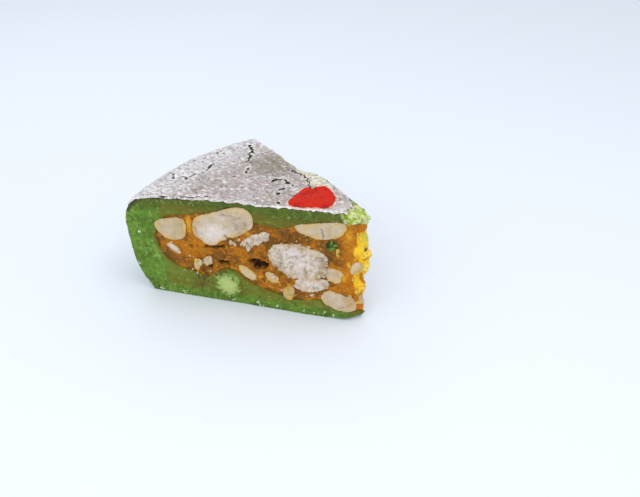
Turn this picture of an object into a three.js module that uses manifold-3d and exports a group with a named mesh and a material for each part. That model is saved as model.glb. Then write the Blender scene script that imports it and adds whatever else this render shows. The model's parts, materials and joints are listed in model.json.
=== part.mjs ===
// Cashew sandwich sweet: one piece of a round that was cut in eight. Green pistachio dough wraps an
// orange nut paste that is set with cashews, silver leaf lies over the top, and a red dab sits on it.
// Millimetres, +Z up. The piece rests on its flat bottom and its cut tip points to +X.
import * as THREE from 'three';
import { mergeVertices } from 'three/addons/utils/BufferGeometryUtils.js';
import Module from 'manifold-3d';

// Driving dimensions of the piece
const rimRadius = 66; // the round, at its widest
const wedgeAngle = THREE.MathUtils.degToRad(42); // between the two cuts
const centreTop = 30.75; // top of the dough at the middle of the round
const domeDrop = 2.9; // fall of the top from the middle to the rim
const shoulderRadius = 60; // where the top turns down into the rim
const footRadius = 60.2; // where the rim meets the flat bottom
const tipFront = 7; // the blunt tip starts here on the front cut
const tipBack = 4.6; // and ends here on the back cut
const tipSlope = { reach: 8.5, drop: 2.1 }; // the torn top at the tip
const tipLift = 0.6; // the underside rises this much under the tip
const backDroop = { distance: 36, spread: 9, width: 4.5, depth: 1.5 }; // the top sinks at the back cut
const backFlake = { distance: 24, spread: 7, width: 5, lift: 1.1 }; // and a broken flake rises beside it
const gap = 0.3; // between pieces that touch
const pasteRecess = 0.35; // the paste lies this far behind the cuts
const leafThickness = 0.35;
const leafStart = 8.2; // the leaf is torn off before the tip
const leafRimHeight = 23.5; // and hangs over the shoulder down to here
const dabHeight = 0.6;
const crumb = { count: 18, smallest: 0.5, largest: 1, seed: 7 };

const halfAngle = wedgeAngle / 2;
const wasm = await Module();
wasm.setup();

// Colours of the finishes
const finishes = {
  dough: { color: 0x6f9436, roughness: 0.55, metalness: 0 },
  paste: { color: 0xb4701f, roughness: 0.35, metalness: 0 },
  cashew: { color: 0xdccfb4, roughness: 0.6, metalness: 0 },
  pistachio: { color: 0x3f5a1e, roughness: 0.6, metalness: 0 },
  leaf: { color: 0xcfc8c6, roughness: 0.35, metalness: 0.9 },
  dab: { color: 0xd8331f, roughness: 0.4, metalness: 0 },
};

// ---- solids from rings of points ----

// A point of the round: r from its axis, angle from the wedge's centre line, z up
function polar(r, angle, z) {
  return [-r * Math.cos(angle), r * Math.sin(angle), z];
}

// Joins rings of equal count into a closed solid whose two ends are capped by flat outlines
function loft(rings, startOutline, endOutline) {
  const count = rings[0].length;
  const faces = [];
  for (let ring = 0; ring + 1 < rings.length; ring++) {
    for (let i = 0; i < count; i++) {
      const a = ring * count + i;
      const b = ring * count + ((i + 1) % count);
      faces.push([a, b, b + count], [a, b + count, a + count]);
    }
  }
  const last = (rings.length - 1) * count;
  for (const [i, j, k] of capFaces(startOutline)) faces.push([j, i, k]);
  for (const [i, j, k] of capFaces(endOutline)) faces.push([last + i, last + j, last + k]);
  return solidFromFaces(rings.flat(), faces);
}

// Triangles that fill a flat outline, all turning the way the outline turns
function capFaces(outline) {
  const flat = outline.map(([x, y]) => new THREE.Vector2(x, y));
  const turn = Math.sign(THREE.ShapeUtils.area(flat));
  return THREE.ShapeUtils.triangulateShape(flat, []).map(([i, j, k]) => {
    const same = Math.sign(THREE.ShapeUtils.area([flat[i], flat[j], flat[k]])) === turn;
    return same ? [i, j, k] : [i, k, j];
  });
}

// A closed solid from points and faces, turned so that its faces point out
function solidFromFaces(points, faces) {
  const corner = (i) => new THREE.Vector3(...points[i]);
  const volume = faces.reduce((sum, [i, j, k]) => sum + corner(i).dot(corner(j).cross(corner(k))) / 6, 0);
  const turned = volume < 0 ? faces.map(([i, j, k]) => [i, k, j]) : faces;
  const geometry = new THREE.BufferGeometry();
  geometry.setAttribute('position', new THREE.Float32BufferAttribute(points.flat(), 3));
  geometry.setIndex(turned.flat());
  return toSolid(geometry);
}

function toSolid(geometry) {
  const bare = geometry.clone();
  for (const name of ['normal', 'uv']) bare.deleteAttribute(name);
  const merged = mergeVertices(bare);
  return new wasm.Manifold(new wasm.Mesh({
    numProp: 3,
    vertProperties: new Float32Array(merged.attributes.position.array),
    triVerts: new Uint32Array(merged.index.array),
  }));
}

function toGeometry(solid) {
  const { vertProperties, triVerts } = solid.getMesh();
  const geometry = new THREE.BufferGeometry();
  geometry.setAttribute('position', new THREE.BufferAttribute(vertProperties, 3));
  geometry.setIndex(new THREE.BufferAttribute(triVerts, 1));
  geometry.computeVertexNormals();
  return geometry;
}

const cutAll = (solid, cutters) => cutters.reduce((left, cutter) => left.subtract(cutter), solid);

// The largest body of a solid, without the loose scraps that cutting leaves
function largestBody(solid) {
  return solid.decompose().reduce((best, body) => (body.volume() > best.volume() ? body : best));
}

// ---- the outside of the piece ----

// Slow unevenness of a surface worked by hand
const unevenness = (x, y) =>
  0.3 * Math.sin(0.11 * x + 1.3) * Math.cos(0.13 * y + 0.4) + 0.12 * Math.sin(0.29 * x + 0.23 * y);

// Strength of a swelling that is strongest at one distance along the back cut and dies away from it
function besideBackCut(r, angle, { distance, spread, width }) {
  const inwards = r * Math.sin(halfAngle - angle);
  return Math.exp(-(((r - distance) / spread) ** 2) - (inwards / width) ** 2);
}

// Height of the dough's top, torn down at the tip, sunk and lifted where it broke beside the back cut
function topHeight(r, angle) {
  const [x, y] = polar(r, angle, 0);
  const torn = THREE.MathUtils.smoothstep(tipSlope.reach - r, 0, tipSlope.reach - 2);
  const calm = THREE.MathUtils.smoothstep(shoulderRadius - r, 0, 10);
  const broken = backFlake.lift * besideBackCut(r, angle, backFlake)
    - backDroop.depth * besideBackCut(r, angle, backDroop);
  return centreTop - domeDrop * (r / shoulderRadius) ** 2 - tipSlope.drop * torn + broken
    + calm * unevenness(x, y);
}

// Side view of the rim, from the shoulder down to the foot
const rimCurve = new THREE.SplineCurve([
  [shoulderRadius, centreTop - domeDrop], [62.6, 27], [64.4, 25.2], [65.6, 22.8], [rimRadius, 20],
  [65.5, 15], [65, 10.5], [64.1, 6.6], [62.3, 3.2], [footRadius, 0],
].map(([r, z]) => new THREE.Vector2(r, z)));

// How far the blunt, broken tip stands from the axis, by height
const tipCurve = new THREE.SplineCurve([
  [2.8, tipLift], [2.3, 2.6], [3.9, 6.2], [2.7, 8], [3.2, 11.5], [2.5, 14], [1.3, 17], [0.8, 20], [2.3, 23],
  [2.6, 26.5], [2.1, 29],
].map(([reach, z]) => new THREE.Vector2(reach, z)));
const tipNormal = new THREE.Vector2(tipBack * Math.sin(halfAngle) + tipFront * Math.sin(halfAngle),
  (tipBack - tipFront) * Math.cos(halfAngle)).normalize();

// Distance of the tip's face from the axis along one angle, moved out or in by the broken outline
function tipRadius(angle, reach) {
  const middleReach = 2.6;
  const facing = tipNormal.x * Math.cos(angle) - tipNormal.y * Math.sin(angle);
  const front = tipFront * (tipNormal.x * Math.cos(halfAngle) + tipNormal.y * Math.sin(halfAngle));
  return (front + 1.2 * (reach - middleReach)) / facing;
}

// Outline of the whole piece in the plane at one angle, from the tip's foot round to the foot of the rim
function outerOutline(angle) {
  const topSteps = 13;
  const tipRows = tipCurve.getPoints(13);
  const tip = tipRows.map(({ x, y }) => [tipRadius(angle, x), y]);
  const tipTop = tip.at(-1)[0];
  tip[tip.length - 1][1] = topHeight(tipTop, angle);
  const top = [];
  for (let i = 1; i < topSteps; i++) {
    const r = tipTop + (shoulderRadius - tipTop) * (i / topSteps) ** 1.15;
    top.push([r, topHeight(r, angle)]);
  }
  const rim = rimCurve.getSpacedPoints(17).map(({ x, y }) => [x, y]);
  const flatFoot = [13, 0];
  return [...tip, ...top, ...rim, flatFoot];
}

// Sweeps outlines of equal count through the wedge, with an overshoot past both cuts
function sweepWedge(outlineAt, steps, overshoot = 0) {
  const rings = [];
  const outlines = [];
  for (let i = 0; i <= steps; i++) {
    const angle = -halfAngle - overshoot + (wedgeAngle + 2 * overshoot) * (i / steps);
    const outline = outlineAt(angle);
    outlines.push(outline);
    rings.push(outline.map(([r, z]) => polar(r, angle, z)));
  }
  return loft(rings, outlines[0], outlines.at(-1));
}

// ---- the paste inside ----

// Edge of the paste on each cut, from the tip over the top, round the rim side and back along the
// bottom; distance from the axis and height
const pasteEdges = {
  front: [[0.9, 27.6], [8, 28.4], [20, 25.8], [25, 24], [31, 24.2], [40, 26], [47, 24.6], [52, 23.6], [56.4, 22.2],
    [57.8, 17], [56.6, 12.4], [54, 9.7], [48, 8], [44, 7], [40.5, 10.6], [36, 10], [32, 6.8], [25, 5], [20, 4.1],
    [14, 5.6], [9, 3.4], [0.9, 2.2]],
  back: [[0.9, 27.4], [7, 26], [13, 20.4], [18, 22.6], [24, 26.4], [30, 26.4], [36, 24.6], [42, 24], [52, 25.4],
    [56.6, 21], [57.6, 15], [56.4, 9.8], [52, 6.2], [46, 6], [40, 5.4], [35, 4.6], [30, 3.4], [25, 3.6], [20, 3],
    [14, 2.4], [8, 2.2], [0.9, 2]],
};
const pasteCurves = Object.fromEntries(Object.entries(pasteEdges).map(([side, points]) =>
  [side, new THREE.SplineCurve(points.map(([r, z]) => new THREE.Vector2(r, z)))]));

// Moves each point of an outline outwards along its own normal
function growOutline(outline, amount) {
  const area = THREE.ShapeUtils.area(outline.map(([x, y]) => new THREE.Vector2(x, y)));
  return outline.map(([x, y], i) => {
    const before = outline.at(i - 1);
    const after = outline[(i + 1) % outline.length];
    const along = new THREE.Vector2(after[0] - before[0], after[1] - before[1]).normalize();
    const side = Math.sign(area) * amount;
    return [Math.max(x + side * along.y, 0.3), y - side * along.x];
  });
}

function pasteOutline(angle, growth) {
  const share = THREE.MathUtils.clamp((angle + halfAngle) / wedgeAngle, 0, 1);
  const steps = 28;
  const outline = [];
  for (let i = 0; i <= steps; i++) {
    const front = pasteCurves.front.getPoint(i / steps);
    const back = pasteCurves.back.getPoint(i / steps);
    const mixed = front.lerp(back, share);
    outline.push([mixed.x, mixed.y]);
  }
  return growth ? growOutline(outline, growth) : outline;
}

// ---- nuts ----

// A point on a cut: distance from the axis, height, and depth behind the cut
function onCut(side, distance, z, depth) {
  const turn = side === 'front' ? -1 : 1;
  return [
    -distance * Math.cos(halfAngle) - depth * Math.sin(halfAngle),
    turn * (distance * Math.sin(halfAngle) - depth * Math.cos(halfAngle)),
    z,
  ];
}

// Outline of a nut on the cut, either its rounded corners or an uneven bean
function nutOutline(nut) {
  if (nut.corners) {
    return nut.corners.flatMap(([x, y], i) => {
      const [nx, ny] = nut.corners[(i + 1) % nut.corners.length];
      return [0.22, 0.78].map((share) => [x + (nx - x) * share, y + (ny - y) * share]);
    });
  }
  const [length, height] = nut.size;
  const tilt = THREE.MathUtils.degToRad(nut.tilt ?? 0);
  const square = 2 / (nut.square ?? 2.4);
  const count = length > 6 ? 14 : 10;
  const outline = [];
  for (let i = 0; i < count; i++) {
    const turn = (i / count) * 2 * Math.PI;
    const uneven = 1 + 0.06 * Math.sin(3 * turn + 7 * length) + 0.04 * Math.sin(5 * turn + 5 * height);
    const along = (length / 2) * uneven * Math.sign(Math.cos(turn)) * Math.abs(Math.cos(turn)) ** square;
    const across = (height / 2) * uneven * Math.sign(Math.sin(turn)) * Math.abs(Math.sin(turn)) ** square;
    const bent = across - (nut.bend ?? 0) * (4 * (along / length) ** 2 - 0.35);
    outline.push([
      nut.at[0] - along * Math.cos(tilt) + bent * Math.sin(tilt),
      nut.at[1] + along * Math.sin(tilt) + bent * Math.cos(tilt),
    ]);
  }
  return outline;
}

// A nut cut through by the knife: flat on the cut, rounded where it sits in the paste
function nutSolid(side, nut, growth = 0) {
  const outline = growth ? growOutline(nutOutline(nut), growth) : nutOutline(nut);
  const count = outline.length;
  const middle = [0, 1].map((axis) => outline.reduce((sum, point) => sum + point[axis], 0) / count);
  const face = growth ? -2 : -(nut.proud ?? 0.1);
  const depth = nut.depth + growth;
  const rings = [outline.map(([d, z]) => onCut(side, d, z, face))];
  const layers = nut.depth > 3 ? 3 : 2;
  let inner = outline;
  for (let layer = 1; layer <= layers; layer++) {
    const turn = (layer / (layers + 0.6)) * (Math.PI / 2);
    const scale = Math.cos(turn) ** 0.7;
    inner = outline.map((point) => point.map((value, axis) => middle[axis] + (value - middle[axis]) * scale));
    rings.push(inner.map(([d, z]) => onCut(side, d, z, depth * Math.sin(turn))));
  }
  return loft(rings, outline, inner);
}

// Nuts on the cuts. at is the middle (distance from the axis, height), size its length and height,
// tilt raises the end towards the tip, bend curves it like a bean
const nuts = {
  front: [
    { corners: [[58, 20.4], [57, 22], [50, 23.4], [49.1, 21], [50, 17.6], [54, 16.5], [57, 18.4]], depth: 6 },
    { corners: [[47.2, 22.6], [46.4, 24.1], [41, 26.3], [36, 28.4], [32.8, 28.4], [31.4, 26.6], [31.4, 23.7],
      [33.6, 21.7], [37, 19.8], [40, 18.7], [42, 16.6], [44.4, 16.6], [45, 18], [47.2, 18.6]], depth: 8 },
    { at: [30.6, 20.2], size: [7.4, 2.5], tilt: 33, bend: 0.2, depth: 3 },
    { corners: [[20.6, 25.9], [14, 27.3], [8.4, 28.4], [7.6, 27.2], [8.8, 24.6], [13.6, 22.8], [17, 23.2],
      [20, 24.6]], depth: 3.6 },
    { at: [19.8, 15.6], size: [15.2, 9.6], tilt: -4, square: 2.2, depth: 6, proud: 0.3 },
    { at: [10.6, 13.1], size: [4.4, 3.8], tilt: -20, depth: 2.6 },
    { at: [16.4, 9.3], size: [9, 3.3], tilt: 13, square: 2.8, depth: 4 },
    { at: [8.6, 5.2], size: [11, 4.6], tilt: -16, square: 2.6, depth: 2.4 },
    { at: [53.2, 14.1], size: [4, 1.6], tilt: -38, depth: 2 },
    { at: [46.8, 10.3], size: [3.2, 1.7], tilt: 70, depth: 2 },
    { at: [44, 11.8], size: [3, 1.7], tilt: 60, depth: 2 },
    { at: [33.3, 10], size: [5.2, 2.3], tilt: -38, depth: 3 },
    { at: [26.9, 9.6], size: [3.6, 2.4], tilt: -30, depth: 2.5 },
    { at: [22.4, 5.8], size: [4, 2.6], tilt: 80, depth: 2.6 },
    { at: [4.9, 15.7], size: [4.6, 3.2], tilt: 80, depth: 1.6, proud: 2 },
  ],
  back: [
    { at: [50.6, 21], size: [11, 6.6], tilt: 8, bend: 1.6, depth: 7 },
    { at: [42.6, 21.6], size: [5.6, 4], tilt: 20, depth: 4 },
    { at: [51.5, 13.4], size: [4.6, 4.4], tilt: 0, depth: 4 },
    { at: [41.6, 14.6], size: [9.6, 3.6], tilt: 14, bend: 1.2, depth: 5 },
    { at: [31.6, 13.4], size: [7.2, 4.6], tilt: 8, depth: 5 },
    { at: [27.6, 23], size: [13.6, 4.8], tilt: -4, square: 3, depth: 6 },
    { at: [22.2, 14.8], size: [9, 7.4], tilt: -35, bend: 1.2, depth: 5.6 },
    { at: [15, 10.4], size: [8.6, 5.4], tilt: 84, depth: 3.6 },
    { at: [6.9, 14.6], size: [4.6, 3.4], tilt: 40, depth: 1.6 },
    { at: [31, 7.2], size: [13, 4.2], tilt: -3, square: 3, depth: 6 },
    { at: [16.4, 3.9], size: [8.6, 3], tilt: 2, square: 3, depth: 4 },
    { at: [47.6, 7.9], size: [5.4, 3.2], tilt: 6, depth: 4 },
    { at: [7.2, 4.6], size: [5.6, 3.6], tilt: 10, depth: 1.6 },
  ],
};
const pistachioBit = { at: [11.4, 21.5], size: [2.8, 2.2], tilt: 30, depth: 1.8 };

// The paler lump of dough that bulges from the bottom layer on the front cut
const doughLump = { at: [38.8, 6.3], size: [8.4, 7], tilt: 80, depth: 3, proud: 0.5 };

// ---- crumbs on the cuts of the paste ----

// A repeatable draw between 0 and 1
function draws(seed) {
  let state = seed;
  return () => {
    state = (state * 16807) % 2147483647;
    return state / 2147483647;
  };
}

function crumbSolids(side, random) {
  const edge = new THREE.Shape(pasteOutline(side === 'front' ? -halfAngle : halfAngle, -1.6)
    .map(([r, z]) => new THREE.Vector2(r, z))).getPoints();
  const inside = (x, y) => edge.reduce((odd, { x: ax, y: ay }, i) => {
    const { x: bx, y: by } = edge[(i + 1) % edge.length];
    return (ay > y) !== (by > y) && x < ax + ((y - ay) / (by - ay)) * (bx - ax) ? !odd : odd;
  }, false);
  const solids = [];
  while (solids.length < crumb.count) {
    const d = 9 + 48 * random();
    const z = 3 + 23 * random();
    const radius = crumb.smallest + (crumb.largest - crumb.smallest) * random() ** 2;
    const turn = 2 * Math.PI * random();
    if (!inside(d, z)) continue;
    const place = onCut(side, d, z, pasteRecess);
    const shape = new THREE.IcosahedronGeometry(radius, 0);
    shape.scale(1, 1, 0.75).rotateX(turn).rotateZ(turn).translate(...place);
    solids.push(toSolid(shape));
  }
  return solids;
}

// ---- leaf and dab ----

// Top of the dough over a point, and the same after the layers that lie on it
function coverHeight(x, y, offset) {
  const r = Math.hypot(x, y);
  return topHeight(r, Math.asin(y / r)) + offset;
}

// A thin sheet over the top and the shoulder, torn along the tip and the rim; both faces are split alike
function leafSolid() {
  const across = 14;
  const along = 20;
  const shoulder = rimCurve.getSpacedPoints(40);
  const route = (angle, share) => {
    const start = leafStart + 2.2 * Math.max(0, angle / halfAngle) ** 2 + 0.5 * Math.sin(19 * angle + 1);
    const hang = leafRimHeight + 1.1 * Math.sin(17 * angle) + 0.6 * Math.sin(41 * angle + 2);
    const flat = 0.84;
    if (share <= flat) {
      const r = start + (shoulderRadius - start) * (share / flat);
      return { r, z: topHeight(r, angle), out: 0, up: 1 };
    }
    const height = shoulder[0].y + (hang - shoulder[0].y) * ((share - flat) / (1 - flat));
    const i = Math.max(1, shoulder.findIndex(({ y }) => y <= height));
    const [above, below] = [shoulder[i - 1], shoulder[i]];
    const part = (above.y - height) / (above.y - below.y);
    const slope = new THREE.Vector2(above.y - below.y, below.x - above.x).normalize();
    return { r: above.x + (below.x - above.x) * part, z: height, out: slope.x, up: slope.y };
  };
  const faceAt = (offset) => {
    const rows = [];
    for (let i = 0; i <= across; i++) {
      const angle = -halfAngle + wedgeAngle * (i / across);
      for (let j = 0; j <= along; j++) {
        const { r, z, out, up } = route(angle, j / along);
        rows.push(polar(r + out * offset, angle, z + up * offset));
      }
    }
    return rows;
  };
  const points = [...faceAt(gap), ...faceAt(gap + leafThickness)];
  const row = along + 1;
  const upper = (across + 1) * row;
  const faces = [];
  const wall = (a, b) => faces.push([b, a, a + upper], [b, a + upper, b + upper]);
  for (let i = 0; i < across; i++) {
    for (let j = 0; j < along; j++) {
      const a = i * row + j;
      faces.push([a, a + row + 1, a + 1], [a, a + row, a + row + 1]);
      faces.push([a + upper, a + 1 + upper, a + row + 1 + upper], [a + upper, a + row + 1 + upper, a + row + upper]);
    }
    wall(i * row, (i + 1) * row);
    wall((i + 1) * row + along, i * row + along);
  }
  for (let j = 0; j < along; j++) {
    wall(j + 1, j);
    wall(across * row + j, across * row + j + 1);
  }
  return solidFromFaces(points, faces);
}

// Outline of the dab, flattened along the front cut and notched where a crack meets it
const dabCurve = new THREE.CatmullRomCurve3([
  [-23.1, -1.3], [-23.3, 1.2], [-22.2, 2.1], [-20.6, 1.6], [-20.3, 3.2], [-18.9, 4.1], [-16.8, 3.9], [-14.6, 2.4],
  [-12.7, 0.1], [-12.2, -2], [-13.2, -4], [-15.4, -5.1], [-18, -6.2], [-20.3, -7], [-21.8, -6.2], [-22.7, -4.2],
].map(([x, y]) => new THREE.Vector3(x, y, 0)), true);

// A low pool with a rounded edge
function dabSolid() {
  const count = 28;
  const base = 2 * gap + leafThickness;
  const middle = new THREE.Vector3(-17.8, -1.6, 0);
  const profile = [[0.95, 0], [1, 0.4], [0.95, 0.85], [0.7, 1], [0.3, 0.97]];
  const edge = Array.from({ length: count }, (_, i) => dabCurve.getPoint(i / count));
  const outlineAt = (scale) => edge.map((point) => middle.clone().lerp(point, scale).toArray().slice(0, 2));
  const rings = profile.map(([scale, share]) =>
    outlineAt(scale).map(([x, y]) => [x, y, coverHeight(x, y, base + dabHeight * share)]));
  return loft(rings, outlineAt(profile[0][0]), outlineAt(profile.at(-1)[0]));
}

// ---- assembly ----

const whole = sweepWedge(outerOutline, 12);
const pieces = [];
const pockets = [];

function addNut(name, side, nut, finish) {
  const clear = cutAll(nutSolid(side, nut).intersect(outside(nut)), pockets);
  pieces.push([name, largestBody(clear), finish]);
  pockets.push(nutSolid(side, nut, gap));
}

// Nuts by the tip end at its broken face; the others may stand a little proud of the cut
function outside(nut) {
  const nearest = nut.corners ? Math.min(...nut.corners.map(([d]) => d)) : nut.at[0] - nut.size[0] / 2;
  return nearest < tipFront + 1 ? whole : everywhere;
}
const everywhere = toSolid(new THREE.BoxGeometry(400, 400, 400));

for (const [side, list] of Object.entries(nuts)) {
  list.forEach((nut, i) => addNut(`cashew_${side}_${String(i + 1).padStart(2, '0')}`, side, nut, 'cashew'));
}
addNut('pistachio_bit', 'front', pistachioBit, 'pistachio');

// Slabs that trim the paste back behind both cuts
const trims = [-1, 1].map((turn) => {
  const slab = new THREE.BoxGeometry(200, 20, 100);
  slab.translate(0, turn * (10 - pasteRecess), 0);
  slab.rotateZ(-turn * halfAngle);
  return toSolid(slab);
});

const random = draws(crumb.seed);
const pasteBare = cutAll(whole.intersect(sweepWedge((angle) => pasteOutline(angle, 0), 8)), trims);
const pasteCrumbed = ['front', 'back'].flatMap((side) => crumbSolids(side, random))
  .reduce((joined, bit) => joined.add(bit), pasteBare);
const paste = largestBody(cutAll(pasteCrumbed, pockets));

const cavity = sweepWedge((angle) => pasteOutline(angle, gap), 8, 0.05);
const lump = nutSolid('front', doughLump);
const shell = largestBody(cutAll(whole.add(lump).subtract(cavity), pockets));

pieces.unshift(
  ['pistachio_shell', shell, 'dough'],
  ['nut_paste', paste, 'paste'],
  ['silver_leaf', leafSolid(), 'leaf'],
  ['red_dab', dabSolid(), 'dab'],
);

const sweet = new THREE.Group();
for (const [name, solid, finish] of pieces) {
  const mesh = new THREE.Mesh(toGeometry(solid), new THREE.MeshStandardMaterial(finishes[finish]));
  mesh.name = name;
  sweet.add(mesh);
}

// The origin is the middle of the box's bottom
const box = new THREE.Box3().setFromObject(sweet);
sweet.position.set(-(box.min.x + box.max.x) / 2, -(box.min.y + box.max.y) / 2, -box.min.z);

export default sweet;
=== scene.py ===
# Cashew sandwich sweet: a wedge of green pistachio dough round an orange nut paste with cashews,
# silver leaf on top and a red dab. Metres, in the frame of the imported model.
import json
import math
import random
from collections import Counter

import bpy
from mathutils import Euler, Matrix, Vector, noise
from mathutils.kdtree import KDTree

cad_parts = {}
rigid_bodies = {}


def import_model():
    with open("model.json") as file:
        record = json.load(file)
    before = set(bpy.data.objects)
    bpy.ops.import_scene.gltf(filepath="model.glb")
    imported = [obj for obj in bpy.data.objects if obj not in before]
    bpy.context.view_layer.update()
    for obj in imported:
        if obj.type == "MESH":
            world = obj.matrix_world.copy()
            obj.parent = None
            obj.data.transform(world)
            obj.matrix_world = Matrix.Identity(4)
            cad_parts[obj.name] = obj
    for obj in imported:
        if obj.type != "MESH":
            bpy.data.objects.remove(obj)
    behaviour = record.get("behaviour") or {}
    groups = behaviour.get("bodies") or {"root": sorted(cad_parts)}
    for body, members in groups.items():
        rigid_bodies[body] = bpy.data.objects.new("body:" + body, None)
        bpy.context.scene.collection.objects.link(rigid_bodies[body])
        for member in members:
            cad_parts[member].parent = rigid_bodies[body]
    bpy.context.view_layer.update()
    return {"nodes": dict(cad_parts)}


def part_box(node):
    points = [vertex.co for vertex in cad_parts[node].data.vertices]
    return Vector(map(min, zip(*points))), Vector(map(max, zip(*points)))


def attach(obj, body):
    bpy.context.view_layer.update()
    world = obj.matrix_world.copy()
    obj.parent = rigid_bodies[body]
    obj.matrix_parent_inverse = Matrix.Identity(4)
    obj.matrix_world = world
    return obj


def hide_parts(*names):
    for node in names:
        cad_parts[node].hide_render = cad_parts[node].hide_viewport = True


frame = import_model()
bpy.ops.object.select_all(action="DESELECT")
mm = 0.001

# The wedge, as the frame has it: the round's axis, the two cuts and the widest radius
wedge = {"halfAngle": math.radians(21), "rimRadius": 66 * mm}
shellLow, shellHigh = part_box("pistachio_shell")
axis = Vector((shellLow[0] + wedge["rimRadius"], (shellLow[1] + shellHigh[1]) / 2, 0))


def cutFrame(side):
    # directions along a cut: out to the rim, and into the piece
    turn = -1 if side == "front" else 1
    half = wedge["halfAngle"]
    outwards = Vector((-math.cos(half), turn * math.sin(half), 0))
    inwards = Vector((-math.sin(half), -turn * math.cos(half), 0))
    return outwards, inwards


def onCut(side, distance, height, depth):
    # a point of a cut in millimetres: from the axis, above the floor, behind the cut
    outwards, inwards = cutFrame(side)
    return axis + (outwards * distance + inwards * depth + Vector((0, 0, height))) * mm


def cutPlace(side, co):
    # the other way round: a point's distance from the axis, height and depth
    outwards, inwards = cutFrame(side)
    offset = (co - axis) / mm
    return offset.dot(outwards), offset.z, offset.dot(inwards)


def flatPlace(co):
    # a point's place on the top, in millimetres from the axis
    return (co.x - axis.x) / mm, (co.y - axis.y) / mm


# Helpers for modelling


def selectOnly(piece):
    if bpy.context.mode != "OBJECT":
        bpy.ops.object.mode_set(mode="OBJECT")
    bpy.ops.object.select_all(action="DESELECT")
    piece.select_set(True)
    bpy.context.view_layer.objects.active = piece


def inEditMode(piece, *steps):
    selectOnly(piece)
    bpy.ops.object.mode_set(mode="EDIT")
    for step in steps:
        bpy.ops.mesh.select_all(action="SELECT")
        step()
    bpy.ops.object.mode_set(mode="OBJECT")


def deleteFaces(piece, isChosen):
    inEditMode(piece, lambda: bpy.ops.mesh.select_mode(type="FACE"),
               lambda: bpy.ops.mesh.select_all(action="DESELECT"))
    for face in piece.data.polygons:
        face.select = isChosen(face)
    bpy.ops.object.mode_set(mode="EDIT")
    bpy.ops.mesh.delete(type="FACE")
    bpy.ops.object.mode_set(mode="OBJECT")


def trimPinches(piece):
    # takes away faces at the rim that hang together by a corner alone
    while True:
        uses = Counter(key for face in piece.data.polygons for key in face.edge_keys)
        rims = Counter(index for key, count in uses.items() if count == 1 for index in key)
        pinched = {index for index, count in rims.items() if count > 2}
        if not pinched:
            return
        deleteFaces(piece, lambda face: not pinched.isdisjoint(face.vertices))


def keepLargest(piece):
    # drops the loose scraps of a mesh
    name = piece.name
    inEditMode(piece, lambda: bpy.ops.mesh.separate(type="LOOSE"))
    parts = sorted((part for part in bpy.data.objects if part.name.startswith(name)),
                   key=lambda part: len(part.data.polygons))
    for part in parts[:-1]:
        bpy.data.objects.remove(part)
    parts[-1].name = name
    return parts[-1]


def finishWith(piece, kind, **settings):
    # adds one modifier, sets it up and applies it
    selectOnly(piece)
    modifier = piece.modifiers.new(kind.lower(), kind)
    for key, value in settings.items():
        setattr(modifier, key, value)
    bpy.ops.object.modifier_apply(modifier=modifier.name)


def newPiece(name, mesh):
    piece = bpy.data.objects.new(name, mesh)
    bpy.context.scene.collection.objects.link(piece)
    return piece


def rebuilt(node, name, settings, filler=None):
    # a solid of the frame as a fine mesh: merged, grown, joined with a filler, remeshed and smoothed
    piece = newPiece(name, frame["nodes"][node].data.copy())
    piece.data.materials.clear()
    inEditMode(piece, lambda: bpy.ops.mesh.remove_doubles(threshold=0.001 * mm))
    finishWith(piece, "DISPLACE", strength=settings["growth"] * mm, mid_level=0.0)
    if filler:
        selectOnly(piece)
        filler.select_set(True)
        bpy.ops.object.join()
    finishWith(piece, "REMESH", mode="VOXEL", voxel_size=settings["voxel"] * mm, use_smooth_shade=True)
    if settings["smoothing"]:
        finishWith(piece, "SMOOTH", factor=0.5, iterations=settings["smoothing"])
    return piece


def roughen(piece, relief, middle=0.5, group=""):
    # pushes the surface in and out by clouds: relief lists their sizes and depths in millimetres
    for size, depth in relief:
        texture = bpy.data.textures.new(piece.name + "Clouds", "CLOUDS")
        texture.noise_scale = size * mm
        texture.noise_depth = 2
        finishWith(piece, "DISPLACE", texture=texture, texture_coords="LOCAL", strength=depth * mm,
                   mid_level=middle, vertex_group=group)


def weigh(piece, name, shareAt):
    # a vertex group that holds a later step to part of the piece
    group = piece.vertex_groups.new(name=name)
    for vertex in piece.data.vertices:
        share = shareAt(vertex.co)
        if share > 0.01:
            group.add([vertex.index], share, "REPLACE")


def paint(piece, name, shareAt):
    # stores a number at each vertex, which the piece's material reads
    layer = piece.data.attributes.new(name, "FLOAT", "POINT")
    layer.data.foreach_set("value", [shareAt(vertex.co) for vertex in piece.data.vertices])


def awayFrom(piece, isChosen=lambda co: True):
    # gives a function for the distance to a piece's nearest chosen vertex, in millimetres
    places = [vertex.co for vertex in piece.data.vertices if isChosen(vertex.co)]
    tree = KDTree(len(places))
    for index, co in enumerate(places):
        tree.insert(co, index)
    tree.balance()
    return lambda co: tree.find(co)[2] / mm


def fade(value, low, high):
    # 1 below low, 0 above high, smooth in between
    share = max(0.0, min(1.0, (high - value) / (high - low)))
    return share * share * (3 - 2 * share)


# Paint on the cuts: how deep behind them it reaches, in millimetres, and how ragged its edges are
cutPaint = {"spotDepth": 2.5, "spotRagged": 0.35, "spotGrain": 1.3, "spotEdge": 1.05,
            "lineDepth": 1.5, "lineRagged": 0.4, "lineGrain": 1.7, "lineSoft": 0.15}


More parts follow.
